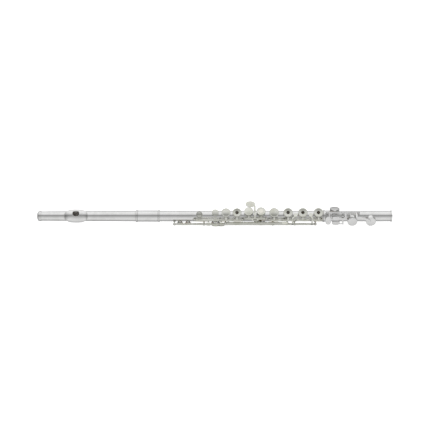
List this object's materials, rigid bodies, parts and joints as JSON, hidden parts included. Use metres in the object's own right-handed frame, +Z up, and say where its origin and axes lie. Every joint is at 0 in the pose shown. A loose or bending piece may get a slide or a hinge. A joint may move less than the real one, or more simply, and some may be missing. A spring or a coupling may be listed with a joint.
{
  "type": "concert flute",
  "caption": "Silver concert flute with a head joint, lip plate, hinged finger keys, trill keys, side lever and a short low-note foot joint.",
  "frame": {"origin": "centre of the bore at the foot joint's open end", "axes": "+X out of the open end along the bore, +Z up through the finger keys at rest, the player on the -Y side"},
  "size_m": [0.6685, 0.0441, 0.038],
  "materials": {
    "tube_silver": "polished silver plate",
    "key_silver": "polished silver plate, slightly warm",
    "steel": "ground steel",
    "spring": "drawn spring wire",
    "pad": "felt under a thin skin",
    "cork": "cork",
    "plug": "satin"
  },
  "bodies": {
    "foot": {"foot_tube": "tube_silver", "foot_rings": "tube_silver", "foot_posts": "key_silver"},
    "body": {"barrel": "tube_silver", "body_tube": "tube_silver", "tenon_ring": "tube_silver", "body_ribs": "key_silver", "body_posts": "key_silver", "hinge_rods": "steel", "needle_springs": "spring"},
    "head": {"head_tube": "tube_silver", "riser": "tube_silver", "lip_plate": "tube_silver"},
    "crown": {"crown": "tube_silver"},
    "stopper": {"stopper_screw": "steel", "stopper_cork": "cork", "stopper_plates": "key_silver"},
    "c_key": {"c_key": "key_silver", "c_pad": "pad"},
    "thumb_key": {"thumb_key": "key_silver", "thumb_pad": "pad"},
    "thumb_flat_lever": {"thumb_flat_lever": "key_silver"},
    "b_flat_key": {"b_flat_key": "key_silver", "b_flat_pad": "pad"},
    "a_key": {"a_key": "key_silver", "a_pad": "pad", "a_grommet": "key_silver"},
    "g_keys": {"g_keys": "key_silver", "g_pads": "pad", "g_grommet": "key_silver", "g_plug": "plug"},
    "g_sharp_key": {"g_sharp_key": "key_silver", "g_sharp_pad": "pad"},
    "f_sharp_key": {"f_sharp_key": "key_silver", "f_sharp_pad": "pad", "lower_rod": "steel"},
    "f_key": {"f_key": "key_silver", "f_pad": "pad", "f_grommet": "key_silver"},
    "e_key": {"e_key": "key_silver", "e_pad": "pad", "e_grommet": "key_silver"},
    "d_key": {"d_key": "key_silver", "d_pad": "pad", "d_grommet": "key_silver"},
    "side_lever": {"side_lever": "key_silver"},
    "d_trill_key": {"d_trill_key": "key_silver", "d_trill_pad": "pad"},
    "d_sharp_trill_key": {"d_sharp_trill_key": "key_silver", "d_sharp_trill_pad": "pad", "trill_rod": "steel"},
    "d_sharp_foot_key": {"d_sharp_foot_key": "key_silver", "d_sharp_foot_pad": "pad"},
    "c_sharp_foot_key": {"c_sharp_foot_key": "key_silver", "c_sharp_foot_pad": "pad"},
    "c_foot_key": {"c_foot_key": "key_silver", "c_foot_pad": "pad", "foot_rod": "steel"},
    "c_roller": {"c_roller": "key_silver"}
  },
  "joints": [
    {"name": "foot_turn", "type": "hinge", "parent": "foot", "child": "body", "pos_m": [-0.125, 0, 0], "axis": [1, 0, 0], "range_deg": [-20, 20]},
    {"name": "head_slide", "type": "slide", "parent": "body", "child": "head", "axis": [-1, 0, 0], "range_m": [0, 0.012]},
    {"name": "crown_turn", "type": "hinge", "parent": "head", "child": "crown", "pos_m": [-0.665, 0, 0], "axis": [1, 0, 0], "range_deg": [-360, 360]},
    {"name": "stopper_slide", "type": "slide", "parent": "head", "child": "stopper", "axis": [1, 0, 0], "range_m": [-0.0005, 0.0005]},
    {"name": "c_press", "type": "hinge", "parent": "body", "child": "c_key", "pos_m": [-0.348, -0.0136, 0.0106], "axis": [-1, 0, 0], "range_deg": [0, 8.5], "stiffness_Nm_per_rad": 0.03, "springref_deg": -8.59},
    {"name": "thumb_press", "type": "hinge", "parent": "body", "child": "thumb_key", "pos_m": [-0.326, 0.00419, -0.01673], "axis": [-1, 0, 0], "range_deg": [0, 8.5], "stiffness_Nm_per_rad": 0.03, "springref_deg": -8.59},
    {"name": "thumb_flat_press", "type": "hinge", "parent": "body", "child": "thumb_flat_lever", "pos_m": [-0.348, 0.00419, -0.01673], "axis": [-1, 0, 0], "range_deg": [0, 8.5], "stiffness_Nm_per_rad": 0.03, "springref_deg": -8.59},
    {"name": "a_press", "type": "hinge", "parent": "body", "child": "a_key", "pos_m": [-0.293, -0.0136, 0.0106], "axis": [-1, 0, 0], "range_deg": [0, 8.5], "stiffness_Nm_per_rad": 0.03, "springref_deg": -8.59},
    {"name": "b_flat_press", "type": "hinge", "parent": "body", "child": "b_flat_key", "pos_m": [-0.312, -0.0136, 0.0106], "axis": [-1, 0, 0], "range_deg": [0, 8.5], "stiffness_Nm_per_rad": 0.03, "springref_deg": -8.59},
    {"name": "g_press", "type": "hinge", "parent": "body", "child": "g_keys", "pos_m": [-0.258, -0.01155, 0.0128], "axis": [-1, 0, 0], "range_deg": [0, 8.5], "stiffness_Nm_per_rad": 0.03, "springref_deg": -8.59},
    {"name": "g_sharp_press", "type": "hinge", "parent": "body", "child": "g_sharp_key", "pos_m": [-0.259, -0.01155, 0.0128], "axis": [-1, 0, 0], "range_deg": [0, 5.7], "stiffness_Nm_per_rad": 0.03, "springref_deg": -11.46},
    {"name": "f_press", "type": "hinge", "parent": "body", "child": "f_key", "pos_m": [-0.197, -0.0136, 0.0106], "axis": [-1, 0, 0], "range_deg": [0, 8.5], "stiffness_Nm_per_rad": 0.03, "springref_deg": -8.59},
    {"name": "f_sharp_press", "type": "hinge", "parent": "body", "child": "f_sharp_key", "pos_m": [-0.219, -0.0136, 0.0106], "axis": [-1, 0, 0], "range_deg": [0, 8.5], "stiffness_Nm_per_rad": 0.03, "springref_deg": -8.59},
    {"name": "e_press", "type": "hinge", "parent": "body", "child": "e_key", "pos_m": [-0.17, -0.0136, 0.0106], "axis": [-1, 0, 0], "range_deg": [0, 8.5], "stiffness_Nm_per_rad": 0.03, "springref_deg": -8.59},
    {"name": "d_press", "type": "hinge", "parent": "body", "child": "d_key", "pos_m": [-0.145, -0.0136, 0.0106], "axis": [-1, 0, 0], "range_deg": [0, 8.5], "stiffness_Nm_per_rad": 0.03, "springref_deg": -8.59},
    {"name": "side_lever_press", "type": "hinge", "parent": "body", "child": "side_lever", "pos_m": [-0.256, -0.0162, 0.00435], "axis": [1, 0, 0], "range_deg": [0, 8], "stiffness_Nm_per_rad": 0.03, "springref_deg": -8.59},
    {"name": "d_trill_press", "type": "hinge", "parent": "body", "child": "d_trill_key", "pos_m": [-0.289, -0.0165, -0.0009], "axis": [-1, 0, 0], "range_deg": [0, 9], "stiffness_Nm_per_rad": 0.03, "springref_deg": -11.46},
    {"name": "d_sharp_trill_press", "type": "hinge", "parent": "body", "child": "d_sharp_trill_key", "pos_m": [-0.277, -0.0165, -0.0009], "axis": [-1, 0, 0], "range_deg": [0, 9], "stiffness_Nm_per_rad": 0.03, "springref_deg": -11.46},
    {"name": "d_sharp_foot_press", "type": "hinge", "parent": "foot", "child": "d_sharp_foot_key", "pos_m": [-0.109, -0.0005, 0.0156], "axis": [1, 0, 0], "range_deg": [0, 8], "stiffness_Nm_per_rad": 0.03, "springref_deg": -11.46},
    {"name": "c_sharp_foot_press", "type": "hinge", "parent": "foot", "child": "c_sharp_foot_key", "pos_m": [-0.085, -0.0005, 0.0156], "axis": [1, 0, 0], "range_deg": [0, 8], "stiffness_Nm_per_rad": 0.03, "springref_deg": -8.59},
    {"name": "c_foot_press", "type": "hinge", "parent": "foot", "child": "c_foot_key", "pos_m": [-0.08, -0.0005, 0.0156], "axis": [1, 0, 0], "range_deg": [0, 8], "stiffness_Nm_per_rad": 0.03, "springref_deg": -8.59},
    {"name": "roller_spin", "type": "hinge", "parent": "c_foot_key", "child": "c_roller", "pos_m": [-0.1067, -0.01584, 0.00776], "axis": [1, 0, 0], "continuous": true}
  ],
  "couplings": [
    {"joint": "b_flat_press", "follows": "a_press", "ratio": 1},
    {"joint": "f_sharp_press", "follows": "f_press", "ratio": 1},
    {"joint": "crown_turn", "follows": "stopper_slide", "rad_per_m": -12566}
  ]
}
